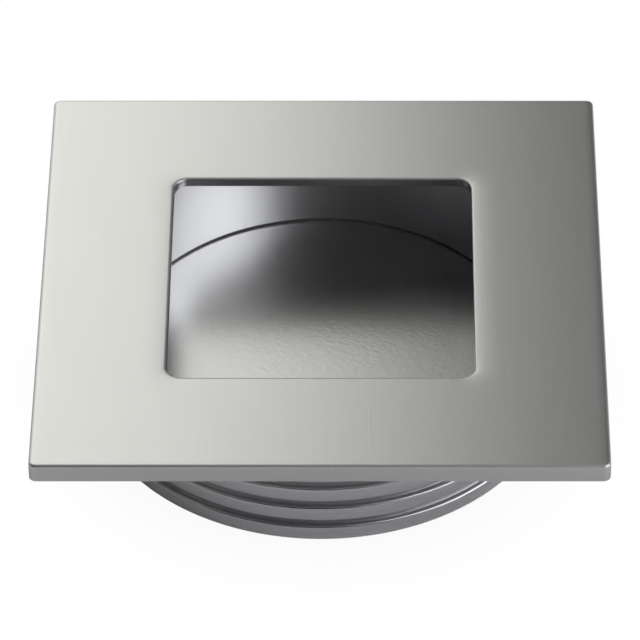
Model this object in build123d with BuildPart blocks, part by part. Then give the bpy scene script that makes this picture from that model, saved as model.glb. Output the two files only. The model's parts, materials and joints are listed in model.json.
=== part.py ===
"""Square recessed handle (flush pull) that is glued into a round hole in a door.

The body is a square face plate and a round grooved wall, made in one piece. It is bored from behind, which
leaves a thin web over the hollow, and a square finger opening goes through that web. A disc that is let in
from behind is the floor of the hollow.

Millimetres. The origin is on the wall's axis, in the plane of the plate's back face, which lies on the door.
+Z points out of the door, towards the hand, and the plate's sides run along X and Y.
"""

import os
from math import sqrt

from build123d import *

os.makedirs("parts", exist_ok=True)

# Round wall that goes into the hole in the door
wall_diameter = 67.8
wall_thickness = 3.9
foot_edge_break = 0.3  # outer edge of the wall's foot

# Face plate
plate_lap = 6.1  # how far the plate covers the door beside the wall
plate_thickness = 3.0
plate_corner_radius = 1.0  # seen from the front
plate_front_rounding = 0.45  # edge all round the face
plate_back_break = 0.2  # edge all round the back

# Finger opening through the web
web_thickness = 1.5  # metal left between the hollow and the face
opening_corner_radius = 2.2
opening_corner_ledge = 0.36  # how far the opening's corners stay inside the bore
opening_rounding = 0.4  # front edge of the opening

# Hollow and the disc that closes it
hollow_depth = 12.0  # from the plate's back face to the disc
disc_thickness = 3.0
disc_inset = 1.8  # from the wall's foot to the back of the disc
disc_step = 1.5  # width of the step that the disc is pushed against
disc_clearance = 0.05  # all round, filled by the bond
disc_edge_break = 0.3
bore_edge_break = 0.5  # lower edge of the bore, a dark joint line over the disc
seat_mouth_break = 0.3  # lets the disc in

# Glue grooves round the wall, counted up from its foot
groove_depth = 0.8
groove_height = 1.1
groove_edge_break = 0.3
land_height = 2.5  # metal left between two grooves, and below the lowest
top_land_least = 1.0  # metal left above the highest groove

# Worked out from the sizes above
wall_radius = wall_diameter / 2
bore_radius = wall_radius - wall_thickness
seat_radius = bore_radius + disc_step
seat_depth = disc_thickness + disc_inset
wall_depth = hollow_depth + seat_depth
foot_z = -wall_depth
plate_side = wall_diameter + 2 * plate_lap
groove_pitch = groove_height + land_height
groove_count = int((wall_depth - top_land_least) // groove_pitch)
groove_levels = [foot_z + land_height + groove_height / 2 + i * groove_pitch for i in range(groove_count)]
# A square with rounded corners whose corners reach out to the bore, less the ledge
corner_reach = bore_radius - opening_corner_ledge
opening_side = sqrt(2) * (corner_reach + (sqrt(2) - 1) * opening_corner_radius)

with BuildPart() as pull_body:
    # Face plate, with the finger opening right through it
    with BuildSketch():
        RectangleRounded(plate_side, plate_side, plate_corner_radius)
        RectangleRounded(opening_side, opening_side, opening_corner_radius, mode=Mode.SUBTRACT)
    extrude(amount=plate_thickness)
    front_face = pull_body.faces().sort_by(Axis.Z)[-1]
    fillet(front_face.outer_wire().edges(), radius=plate_front_rounding)
    front_face = pull_body.faces().sort_by(Axis.Z)[-1]
    fillet(front_face.inner_wires()[0].edges(), radius=opening_rounding)
    back_face = pull_body.faces().sort_by(Axis.Z)[0]
    chamfer(back_face.outer_wire().edges(), length=plate_back_break)

    # Round wall behind the plate: half of its section, turned about the axis
    with BuildSketch(Plane.XZ):
        with BuildLine():
            Polyline(
                (wall_radius, 0),
                (wall_radius, foot_z),
                (seat_radius, foot_z),
                (seat_radius, -hollow_depth),
                (bore_radius, -hollow_depth),
                (bore_radius, 0),
                close=True,
            )
        make_face()
    revolve(axis=Axis.Z)

    # The bore runs on into the plate, up to the web
    with BuildSketch():
        Circle(bore_radius)
    extrude(amount=plate_thickness - web_thickness, mode=Mode.SUBTRACT)

    # Edges of the bore, of the disc's seat and of the foot
    step_edges = pull_body.edges().filter_by(GeomType.CIRCLE).filter_by_position(
        Axis.Z, -hollow_depth - bore_edge_break, -hollow_depth + bore_edge_break
    )
    chamfer(step_edges.sort_by(SortBy.RADIUS)[0], length=bore_edge_break)
    foot_edges = pull_body.edges().group_by(Axis.Z)[0].sort_by(SortBy.RADIUS)
    chamfer(foot_edges[0], length=seat_mouth_break)
    chamfer(foot_edges[-1], length=foot_edge_break)

    # Glue grooves
    with BuildSketch(Plane.XZ):
        with Locations(*[(wall_radius, level) for level in groove_levels]):
            Rectangle(2 * groove_depth, groove_height)
    revolve(axis=Axis.Z, mode=Mode.SUBTRACT)
    wall_edges = pull_body.edges().filter_by(GeomType.CIRCLE).filter_by_position(
        Axis.Z, foot_z + land_height / 2, -groove_edge_break
    )
    chamfer(wall_edges.group_by(SortBy.RADIUS)[-1], length=groove_edge_break)

with BuildPart() as floor_disc:
    with BuildSketch(Plane.XY.offset(-hollow_depth)):
        Circle(seat_radius - disc_clearance)
    extrude(amount=-disc_thickness)
    rim_edges = floor_disc.edges().filter_by(GeomType.CIRCLE)
    chamfer(rim_edges.group_by(Axis.Z)[0], length=disc_edge_break)

pull_body.part.label = "pull_body"
floor_disc.part.label = "floor_disc"
export_step(pull_body.part, "parts/pull_body.step")
export_step(floor_disc.part, "parts/floor_disc.step")
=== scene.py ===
"""Looks of the recessed handle: the satin body, skinned over its rings, and the brushed disc in its hollow.

Metres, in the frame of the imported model: the origin is on the wall's axis, in the plane of the plate's back
face, and +Z points out of the face. The camera looks along +Y and down.
"""

import json
import math

import bmesh
import bpy
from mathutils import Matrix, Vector


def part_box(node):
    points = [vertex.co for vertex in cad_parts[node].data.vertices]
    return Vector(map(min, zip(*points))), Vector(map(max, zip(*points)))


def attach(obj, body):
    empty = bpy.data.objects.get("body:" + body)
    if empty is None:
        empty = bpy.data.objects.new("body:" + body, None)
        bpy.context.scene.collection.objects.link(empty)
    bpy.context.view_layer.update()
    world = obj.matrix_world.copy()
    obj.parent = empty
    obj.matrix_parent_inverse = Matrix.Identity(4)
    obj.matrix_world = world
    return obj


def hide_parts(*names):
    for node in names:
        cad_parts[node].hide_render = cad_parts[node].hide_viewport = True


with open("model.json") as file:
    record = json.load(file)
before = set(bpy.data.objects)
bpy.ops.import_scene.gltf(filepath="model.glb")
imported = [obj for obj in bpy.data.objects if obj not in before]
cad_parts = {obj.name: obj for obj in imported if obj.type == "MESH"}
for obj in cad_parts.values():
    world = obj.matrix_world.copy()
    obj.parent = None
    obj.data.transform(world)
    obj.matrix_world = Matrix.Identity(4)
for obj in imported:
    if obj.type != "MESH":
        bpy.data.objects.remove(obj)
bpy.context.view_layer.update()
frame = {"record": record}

MM = 0.001

# Sizes that the frame gives
body_low, body_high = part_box("pull_body")
disc_low, disc_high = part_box("floor_disc")
plate_half = body_high.x
plate_front = body_high.z
plate_back = 0.0
foot_level = body_low.z
wall_radius = frame["record"]["mounts"][0]["dims"]["r_mm"] * MM
disc_radius = disc_high.x
floor_level = disc_high.z
disc_back = disc_low.z

# Sizes inside the body, as in the solids
bore_radius = 30.0 * MM
seat_radius = 31.5 * MM
web_underside = 1.5 * MM
plate_corner = 1.0 * MM
opening_corner = 2.2 * MM
opening_corner_ledge = 0.36 * MM
corner_reach = bore_radius - opening_corner_ledge
opening_half = (corner_reach + (math.sqrt(2) - 1) * opening_corner) / math.sqrt(2)
groove_depth = 0.8 * MM
groove_height = 1.1 * MM
land_height = 2.5 * MM
top_land_least = 1.0 * MM

# Edges, as finishing leaves them: a tight round, flatter in the opening, and a slight roll of the face beside
# it. Drops are measured down from the face.
face_round = 0.4 * MM
face_roll_width = 2.0 * MM
face_roll_drop = 0.015 * MM
opening_round = 0.45 * MM
opening_round_drop = 0.3 * MM
opening_roll_width = 4.5 * MM
opening_roll_drop = 0.055 * MM
least_corner = 0.02 * MM
back_break = 0.2 * MM
web_break = 0.12 * MM
land_round = 0.4 * MM
land_crown = 0.04 * MM
groove_fillet = 0.25 * MM
foot_round = 0.3 * MM
mouth_round = 0.3 * MM
bore_round = 0.4 * MM
# How far inside the bore the painted shade of the joint reaches onto the disc
joint_shade_lap = 0.12 * MM
disc_front_round = 0.06 * MM
disc_back_round = 0.3 * MM

# Fineness of the meshes
RING_POINTS = 256
ROUND_STEPS = 5
ROLL_STEPS = 8
LAND_STEPS = 6
SMOOTH_ANGLE = math.radians(35)
SAME_PLACE = 0.0002 * MM
TOLERANCE = 0.01 * MM  # for finding faces and edges by their place

# How far a face looks straight up, from 0 to 1, where the plate's flat and the upper half of its rounds begin
FACE_UPRIGHT = math.cos(math.radians(6))
EDGE_UPRIGHT = math.cos(math.radians(45))


def deselect():
    """Leaves nothing selected, so that an operator acts on the new piece alone."""
    bpy.ops.object.select_all(action="DESELECT")


class Ring:
    """A square ring with rounded corners, or a round one where the corners take up the whole side."""

    def __init__(self, half, corner, level):
        self.half = half
        self.corner = corner
        self.level = level
        self.reach = half - corner


def round_ring(radius, level):
    """A ring of the round wall."""
    return Ring(radius, radius, level)


def arc(centre_radius, centre_level, radius, start, end):
    """Points of a turned edge's round, from one angle to another, in degrees up from straight outwards."""
    points = []
    for step in range(ROUND_STEPS + 1):
        angle = math.radians(start + (end - start) * step / ROUND_STEPS)
        points.append((centre_radius + radius * math.cos(angle), centre_level + radius * math.sin(angle)))
    return points


def rolled_edge(tight, tight_drop, roll_width, roll_drop):
    """Distance from the edge and level of a face's edge, from the tight round up to the flat of the face."""
    points = []
    for step in range(ROUND_STEPS):
        angle = math.radians(90) * step / ROUND_STEPS
        distance = tight * (1 - math.cos(angle))
        drop = roll_drop + tight_drop * (1 - math.sin(angle))
        points.append((distance, plate_front - drop))
    for step in range(ROLL_STEPS + 1):
        share = step / ROLL_STEPS
        distance = tight + (roll_width - tight) * share
        points.append((distance, plate_front - roll_drop * (1 - share) ** 3))
    return points


def opening_rings():
    """The finger opening, from its lower edge up to the flat of the face."""
    rings = [Ring(opening_half, opening_corner, web_underside + web_break)]
    edge = rolled_edge(opening_round, opening_round_drop, opening_roll_width, opening_roll_drop)
    for distance, level in edge:
        rings.append(Ring(opening_half + distance, opening_corner + distance, level))
    return rings


def plate_rings():
    """The plate's outside, from the flat of the face round to its back."""
    rings = []
    for distance, level in reversed(rolled_edge(face_round, face_round, face_roll_width, face_roll_drop)):
        rings.append(Ring(plate_half - distance, max(plate_corner - distance, least_corner), level))
    rings.append(Ring(plate_half, plate_corner, plate_back + back_break))
    rings.append(Ring(plate_half - back_break, plate_corner - back_break, plate_back))
    return rings


def land_section(top, bottom):
    """One land between two rounds, which polishing has left slightly crowned."""
    points = []
    for step in range(1, LAND_STEPS):
        share = step / LAND_STEPS
        points.append((wall_radius - land_crown * (1 - 2 * share) ** 2, top + (bottom - top) * share))
    return points


def groove_section(level):
    """One glue groove, from the land above it to the land below it."""
    top = level + groove_height / 2
    bottom = level - groove_height / 2
    bed = wall_radius - groove_depth
    land_end = wall_radius - land_crown
    points = arc(land_end - land_round, top + land_round, land_round, 0, -90)
    points += arc(bed + groove_fillet, top - groove_fillet, groove_fillet, 90, 180)
    points += arc(bed + groove_fillet, bottom + groove_fillet, groove_fillet, 180, 270)
    points += arc(land_end - land_round, bottom - land_round, land_round, 90, 0)
    return points


def wall_rings():
    """The round wall, from its root down over the grooves to the foot, and up inside to the web."""
    land_end = wall_radius - land_crown
    section = [(land_end, plate_back)]
    pitch = groove_height + land_height
    lowest = foot_level + land_height + groove_height / 2
    count = int((plate_back - foot_level - top_land_least) // pitch)
    land_top = plate_back
    for number in reversed(range(count)):
        level = lowest + number * pitch
        section += land_section(land_top, level + groove_height / 2 + land_round)
        section += groove_section(level)
        land_top = level - groove_height / 2 - land_round
    section += land_section(land_top, foot_level + foot_round)
    section += arc(land_end - foot_round, foot_level + foot_round, foot_round, 0, -90)
    section += arc(seat_radius + mouth_round, foot_level + mouth_round, mouth_round, 270, 180)
    section.append((seat_radius, floor_level))
    section += arc(bore_radius + bore_round, floor_level + bore_round, bore_round, 270, 180)
    section.append((bore_radius, web_underside))
    return [round_ring(radius, level) for radius, level in section]


def web_ring():
    """Where the web's underside meets the opening's lower edge."""
    return Ring(opening_half + web_break, opening_corner + web_break, web_underside)


def select_newest(piece, belongs):
    """Selects those points of the newest ring, the last that were made, for which belongs(place) is true."""
    bpy.ops.mesh.select_all(action="DESELECT")
    mesh = bmesh.from_edit_mesh(piece.data)
    mesh.verts.ensure_lookup_table()
    for vert in mesh.verts[-RING_POINTS:]:
        vert.select_set(belongs(vert.co))
    mesh.select_flush_mode()
    bmesh.update_edit_mesh(piece.data)


def reshape(piece, old, new):
    """Gives the newest ring, which is selected, its new outline, each corner scaled and moved by itself."""
    growth = new.corner / old.corner
    if old.reach == 0 and new.reach == 0:
        bpy.ops.transform.resize(value=(growth, growth, 1), center_override=(0, 0, new.level))
        return
    step = new.reach - old.reach
    for along_x in (-1, 1):
        for along_y in (-1, 1):
            select_newest(piece, lambda place: place.x * along_x > 0 and place.y * along_y > 0)
            centre = (along_x * old.reach, along_y * old.reach, new.level)
            bpy.ops.transform.resize(value=(growth, growth, 1), center_override=centre)
            bpy.ops.transform.translate(value=(along_x * step, along_y * step, 0))
    select_newest(piece, lambda place: True)


def skin(name, rings):
    """A closed skin over rings: a circle takes the first outline and is extruded from ring to ring."""
    deselect()
    first = rings[0]
    half_step = math.pi / RING_POINTS
    bpy.ops.mesh.primitive_circle_add(
        vertices=RING_POINTS, radius=first.corner, location=(0, 0, first.level), rotation=(0, 0, half_step)
    )
    bpy.ops.object.transform_apply(location=True, rotation=True, scale=False)
    piece = bpy.context.object
    piece.name = name
    piece.data.name = name
    bpy.ops.object.mode_set(mode="EDIT")
    bpy.ops.mesh.select_mode(type="VERT")
    reshape(piece, round_ring(first.corner, first.level), first)
    for old, new in zip(rings, rings[1:] + rings[:1]):
        rise = (0, 0, new.level - old.level)
        bpy.ops.mesh.extrude_edges_move(TRANSFORM_OT_translate={"value": rise})
        reshape(piece, old, new)
    bpy.ops.mesh.select_all(action="SELECT")
    bpy.ops.mesh.remove_doubles(threshold=SAME_PLACE)
    bpy.ops.mesh.normals_make_consistent(inside=False)
    bpy.ops.object.mode_set(mode="OBJECT")
    return piece


def smooth(piece):
    """Smooth rounds beside flat faces that stay flat."""
    deselect()
    piece.select_set(True)
    bpy.context.view_layer.objects.active = piece
    bpy.ops.object.shade_smooth_by_angle(angle=SMOOTH_ANGLE)
    modifier = piece.modifiers.new("flat faces", "WEIGHTED_NORMAL")
    modifier.keep_sharp = True
    bpy.ops.object.modifier_apply(modifier=modifier.name)


def make_body():
    """The plate and the grooved wall in one piece, skinned in a closed round that ends where it starts."""
    body = skin("satin_pull_body", opening_rings() + plate_rings() + wall_rings() + [web_ring()])
    smooth(body)
    return body


def bevel_rim(piece, level, width):
    """Rounds the disc's rim at one level."""
    bpy.ops.mesh.select_all(action="DESELECT")
    mesh = bmesh.from_edit_mesh(piece.data)
    for edge in mesh.edges:
        edge.select_set(all(abs(vert.co.z - level) < TOLERANCE for vert in edge.verts))
    bmesh.update_edit_mesh(piece.data)
    bpy.ops.mesh.bevel(affect="EDGES", offset=width, segments=ROUND_STEPS, profile=0.5)


def inset_front(piece, width):
    """Parts a ring of this width off the disc's front, for the joint."""
    bpy.ops.mesh.select_all(action="DESELECT")
    mesh = bmesh.from_edit_mesh(piece.data)
    for face in mesh.faces:
        on_axis = face.calc_center_median().xy.length < TOLERANCE
        face.select_set(on_axis and face.normal.z > FACE_UPRIGHT)
    bmesh.update_edit_mesh(piece.data)
    bpy.ops.mesh.inset(thickness=width)


def make_disc():
    """The disc that is the hollow's floor."""
    deselect()
    bpy.ops.mesh.primitive_cylinder_add(
        vertices=RING_POINTS,
        radius=disc_radius,
        depth=floor_level - disc_back,
        location=(0, 0, (floor_level + disc_back) / 2),
    )
    disc = bpy.context.object
    disc.name = "brushed_floor_disc"
    disc.data.name = disc.name
    bpy.ops.object.transform_apply(location=True, rotation=False, scale=False)
    bpy.ops.object.mode_set(mode="EDIT")
    bpy.ops.mesh.select_mode(type="EDGE")
    bevel_rim(disc, floor_level, disc_front_round)
    bevel_rim(disc, disc_back, disc_back_round)
    inset_front(disc, disc_radius - disc_front_round - bore_radius + joint_shade_lap)
    bpy.ops.object.mode_set(mode="OBJECT")
    smooth(disc)
    return disc


# Floor
FLOOR_SIDE = 6.0
FLOOR_GREY = 0.9
SHADOW_REACH = 16 * MM
SHADOW_DEPTH = 0.12
LIT_FLOOR_RADIUS = 60 * MM
WHITE_FLOOR_RADIUS = 250 * MM

# Metals
WARM_METAL = (0.86, 0.86, 0.845, 1)
COOL_METAL = (0.86, 0.86, 0.86, 1)
DISC_METAL = (0.8, 0.8, 0.785, 1)
# Darker metal that paints shade in the grooves, under the web and on the opening's sides
SHADE_DARKENED_METAL = (0.58, 0.58, 0.585, 1)
# Painted shade of the joint between the wall and the disc
JOINT_SHADE_GREY = (0.26, 0.26, 0.27, 1)


def maths(tree, operation, first, second):
    """A maths node on two values, each a socket or a number."""
    node = tree.nodes.new("ShaderNodeMath")
    node.operation = operation
    for number, value in enumerate((first, second)):
        if isinstance(value, bpy.types.NodeSocket):
            tree.links.new(value, node.inputs[number])
        else:
            node.inputs[number].default_value = value
    return node.outputs["Value"]


def marks(tree, size, detail, turn=0.0, waviness=0.0):
    """Noise over the object whose marks have this size along X, Y and Z, turned about Z."""
    place = tree.nodes.new("ShaderNodeTexCoord")
    mapping = tree.nodes.new("ShaderNodeMapping")
    mapping.vector_type = "TEXTURE"
    mapping.inputs["Rotation"].default_value = (0, 0, turn)
    mapping.inputs["Scale"].default_value = size
    tree.links.new(place.outputs["Object"], mapping.inputs["Vector"])
    noise = tree.nodes.new("ShaderNodeTexNoise")
    noise.inputs["Scale"].default_value = 1.0
    noise.inputs["Detail"].default_value = detail
    noise.inputs["Distortion"].default_value = waviness
    tree.links.new(mapping.outputs["Vector"], noise.inputs["Vector"])
    return noise.outputs["Fac"]


def vary_roughness(tree, value, low, high):
    """Lets the marks change the metal's roughness between two values."""
    node = tree.nodes.new("ShaderNodeMapRange")
    node.inputs["To Min"].default_value = low
    node.inputs["To Max"].default_value = high
    tree.links.new(value, node.inputs["Value"])
    tree.links.new(node.outputs["Result"], tree.nodes["Principled BSDF"].inputs["Roughness"])


def relief(tree, height, depth):
    """Raises the marks on the metal by up to this depth."""
    bump = tree.nodes.new("ShaderNodeBump")
    bump.inputs["Strength"].default_value = 1.0
    bump.inputs["Distance"].default_value = depth
    tree.links.new(height, bump.inputs["Height"])
    shader = tree.nodes["Principled BSDF"]
    tree.links.new(bump.outputs["Normal"], shader.inputs["Normal"])


def metal(name, colour, roughness):
    """A bare metal, ready for the finish that follows."""
    material = bpy.data.materials.new(name)
    material.use_nodes = True
    shader = material.node_tree.nodes["Principled BSDF"]
    shader.inputs["Base Color"].default_value = colour
    shader.inputs["Metallic"].default_value = 1.0
    shader.inputs["Roughness"].default_value = roughness
    return material


def satin_face():
    """The plate: very fine straight brushing along Y."""
    material = metal("satin_face", WARM_METAL, roughness=0.34)
    tree = material.node_tree
    grain = marks(tree, size=(0.35 * MM, 14 * MM, 14 * MM), detail=2)
    vary_roughness(tree, grain, low=0.32, high=0.36)
    relief(tree, grain, depth=0.003 * MM)
    return material


def satin_edge():
    """The rounds along the plate's edges, which the brushing leaves rougher."""
    material = metal("satin_edge", WARM_METAL, roughness=0.5)
    tree = material.node_tree
    grain = marks(tree, size=(0.15 * MM, 0.15 * MM, 6 * MM), detail=3)
    vary_roughness(tree, grain, low=0.47, high=0.53)
    return material


def turned_wall():
    """The round wall's lands: turned lines that run round them."""
    material = metal("turned_wall", COOL_METAL, roughness=0.28)
    tree = material.node_tree
    lines = marks(tree, size=(9 * MM, 9 * MM, 0.12 * MM), detail=3)
    vary_roughness(tree, lines, low=0.22, high=0.36)
    relief(tree, lines, depth=0.004 * MM)
    return material


def painted_shade_grooves():
    """The glue grooves: darker metal than the lands, as painted shade in their recesses, and with small
    chatter marks.
    """
    material = metal("painted_shade_grooves", SHADE_DARKENED_METAL, roughness=0.3)
    tree = material.node_tree
    chatter = marks(tree, size=(0.5 * MM, 0.5 * MM, 0.2 * MM), detail=2)
    vary_roughness(tree, chatter, low=0.26, high=0.34)
    relief(tree, chatter, depth=0.012 * MM)
    return material


def painted_shade_web():
    """The web's underside and the sides of the opening: darker metal than the face, as painted shade under
    the web and in the opening.
    """
    material = metal("painted_shade_web", SHADE_DARKENED_METAL, roughness=0.34)
    tree = material.node_tree
    lines = marks(tree, size=(0.4 * MM, 0.4 * MM, 4 * MM), detail=2)
    vary_roughness(tree, lines, low=0.32, high=0.36)
    return material


def bored_wall():
    """The wall inside the hollow: smooth, with faint lines of the boring tool."""
    material = metal("bored_wall", COOL_METAL, roughness=0.34)
    tree = material.node_tree
    lines = marks(tree, size=(12 * MM, 12 * MM, 0.3 * MM), detail=2)
    vary_roughness(tree, lines, low=0.32, high=0.36)
    relief(tree, lines, depth=0.001 * MM)
    return material


def painted_joint_shade():
    """Painted shade in the joint between the wall and the disc: a dark grey, not metal, where the gap lies in
    shade.
    """
    material = metal("painted_joint_shade", JOINT_SHADE_GREY, roughness=0.6)
    material.node_tree.nodes["Principled BSDF"].inputs["Metallic"].default_value = 0.0
    return material


def brushed_floor():
    """The disc: short wavy brush marks, mostly along X."""
    material = metal("brushed_floor", DISC_METAL, roughness=0.28)
    tree = material.node_tree
    stroke_size = (1.25 * MM, 0.55 * MM, 1 * MM)
    strokes = marks(tree, size=stroke_size, detail=0, turn=math.radians(-12), waviness=1.0)
    relief(tree, strokes, depth=0.009 * MM)
    return material


# Order of the body's finishes
PLATE, LANDS, GROOVES, BORE, JOINT, WEB, EDGES = range(7)


def body_finish(place, upright):
    """Which finish the body has at a place, where its face looks straight up by this much, from 0 to 1."""
    radius = place.xy.length
    if radius < seat_radius - TOLERANCE and floor_level + TOLERANCE < place.z < web_underside + TOLERANCE:
        # The web's underside takes the darker metal of painted shade
        if place.z > web_underside - TOLERANCE:
            return WEB
        # The lowest round of the bore takes the painted shade of the joint
        return JOINT if place.z < floor_level + bore_round else BORE
    if place.z > plate_back - TOLERANCE:
        if upright > FACE_UPRIGHT:
            return PLATE
        # Painted shade: the lower half of the opening's rounds and its sides take the darker web metal
        if max(abs(place.x), abs(place.y)) < opening_half + opening_round:
            return EDGES if upright > EDGE_UPRIGHT else WEB
        return EDGES if place.z > plate_front - face_roll_drop - face_round else PLATE
    # The grooves take the darker metal of painted shade
    in_wall = seat_radius + mouth_round < radius < wall_radius - land_round / 2
    return GROOVES if in_wall and place.z > foot_level + foot_round else LANDS


def finish_body(body, joint_shade):
    """The plate and its edges, the lands, the grooves, the bore, the joint and the web have a finish each;
    the grooves and the web are darkened as painted shade, and the joint's finish is painted shade.
    """
    finishes = {
        PLATE: satin_face(),
        LANDS: turned_wall(),
        GROOVES: painted_shade_grooves(),
        BORE: bored_wall(),
        JOINT: joint_shade,
        WEB: painted_shade_web(),
        EDGES: satin_edge(),
    }
    for number in sorted(finishes):
        body.data.materials.append(finishes[number])
    for face in body.data.polygons:
        face.material_index = body_finish(face.center, face.normal.z)


def finish_disc(disc, joint_shade):
    """The disc is brushed, and the painted shade of the joint covers it from the joint outwards."""
    disc.data.materials.append(brushed_floor())
    disc.data.materials.append(joint_shade)
    for face in disc.data.polygons:
        at_front = face.center.z > floor_level - disc_front_round
        in_joint = at_front and face.center.xy.length > bore_radius - joint_shade_lap
        face.material_index = 1 if in_joint else 0


def pale_floor():
    """White to the camera but for the object's shadow, and white in the metal where it is far away."""
    material = bpy.data.materials.new("pale_floor")
    material.use_nodes = True
    tree = material.node_tree
    lit = tree.nodes["Principled BSDF"]
    lit.inputs["Base Color"].default_value = (FLOOR_GREY, FLOOR_GREY, FLOOR_GREY, 1)
    lit.inputs["Roughness"].default_value = 1.0
    lit.inputs["Specular IOR Level"].default_value = 0.0
    white = tree.nodes.new("ShaderNodeEmission")
    white.inputs["Strength"].default_value = 1.0
    path = tree.nodes.new("ShaderNodeLightPath")
    openness = tree.nodes.new("ShaderNodeAmbientOcclusion")
    openness.inputs["Distance"].default_value = SHADOW_REACH
    shade = maths(tree, "MULTIPLY", maths(tree, "SUBTRACT", 1.0, openness.outputs["AO"]), SHADOW_DEPTH)
    to_camera = maths(tree, "MULTIPLY", path.outputs["Is Camera Ray"], maths(tree, "SUBTRACT", 1.0, shade))
    place = tree.nodes.new("ShaderNodeTexCoord")
    distance = tree.nodes.new("ShaderNodeVectorMath")
    distance.operation = "LENGTH"
    tree.links.new(place.outputs["Object"], distance.inputs[0])
    away = tree.nodes.new("ShaderNodeMapRange")
    away.interpolation_type = "SMOOTHSTEP"
    away.inputs["From Min"].default_value = LIT_FLOOR_RADIUS
    away.inputs["From Max"].default_value = WHITE_FLOOR_RADIUS
    tree.links.new(distance.outputs["Value"], away.inputs["Value"])
    through = maths(tree, "MAXIMUM", path.outputs["Is Glossy Ray"], path.outputs["Is Transmission Ray"])
    to_metal = maths(tree, "MULTIPLY", through, away.outputs["Result"])
    mix = tree.nodes.new("ShaderNodeMixShader")
    tree.links.new(maths(tree, "MAXIMUM", to_camera, to_metal), mix.inputs["Fac"])
    tree.links.new(lit.outputs["BSDF"], mix.inputs[1])
    tree.links.new(white.outputs["Emission"], mix.inputs[2])
    tree.links.new(mix.outputs["Shader"], tree.nodes["Material Output"].inputs["Surface"])
    return material


def make_floor():
    """A plain pale floor under the foot."""
    deselect()
    bpy.ops.mesh.primitive_plane_add(size=FLOOR_SIDE, location=(0, 0, foot_level))
    floor = bpy.context.object
    floor.name = "floor"
    bpy.ops.object.transform_apply(location=True, rotation=False, scale=False)
    floor.data.materials.append(pale_floor())


def make_lamp(name, place, aim, width, height, glow, colour):
    """A soft panel of light at a place, facing its aim. Its glow is how bright the panel looks."""
    deselect()
    bpy.ops.object.light_add(type="AREA", location=place)
    lamp = bpy.context.object
    lamp.name = name
    lamp.data.shape = "RECTANGLE"
    lamp.data.size = width
    lamp.data.size_y = height
    lamp.data.energy = glow * math.pi * width * height
    lamp.data.color = colour
    lamp.rotation_euler = (Vector(aim) - Vector(place)).to_track_quat("-Z", "Y").to_euler()


# Room, camera and lamps
ROOM_GREY = (0.0118, 0.012, 0.0145, 1)
CAMERA_PLACE = (0.00688, -0.5618, 0.4881)
CAMERA_TILT = math.radians(48.70)
SENSOR_WIDTH = 36
LENS = 292.4
SIDE_SHIFT = -0.078
YELLOWISH = (0.99, 1, 0.955)
BLUISH = (0.945, 0.955, 1)


def make_world():
    """A dim grey room."""
    world = bpy.data.worlds.new("dim_room")
    bpy.context.scene.world = world
    world.use_nodes = True
    room = world.node_tree.nodes["Background"]
    room.inputs["Color"].default_value = ROOM_GREY
    room.inputs["Strength"].default_value = 1.0


def make_camera():
    """The photograph's view: from in front of the plate, looking down at 41 degrees."""
    deselect()
    bpy.ops.object.camera_add(location=CAMERA_PLACE, rotation=(CAMERA_TILT, 0, 0))
    camera = bpy.context.object
    camera.data.sensor_width = SENSOR_WIDTH
    camera.data.lens = LENS
    camera.data.shift_x = SIDE_SHIFT
    bpy.context.scene.camera = camera


# Painted shade for the joint, which the body and the disc share
joint_shade = painted_joint_shade()

body = make_body()
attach(body, "root")
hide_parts("pull_body")
finish_body(body, joint_shade)

disc = make_disc()
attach(disc, "root")
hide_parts("floor_disc")
finish_disc(disc, joint_shade)

make_floor()
make_world()
make_lamp(
    "back_left_panel",
    place=(-0.294, 0.38, 0.34),
    aim=(-0.294, 0.0, 0.0),
    width=0.60,
    height=0.45,
    glow=1.08,
    colour=YELLOWISH,
)
make_lamp(
    "front_right_panel",
    place=(0.4335, -0.185, 0.3936),
    aim=(0, 0, 0),
    width=0.566,
    height=0.50,
    glow=1.75,
    colour=BLUISH,
)
make_lamp(
    "low_right_panel",
    place=(0.443, -0.207, 0.104),
    aim=(0, 0, 0),
    width=0.25,
    height=0.12,
    glow=2.4,
    colour=BLUISH,
)
make_camera()

bpy.context.scene.view_settings.view_transform = "Standard"
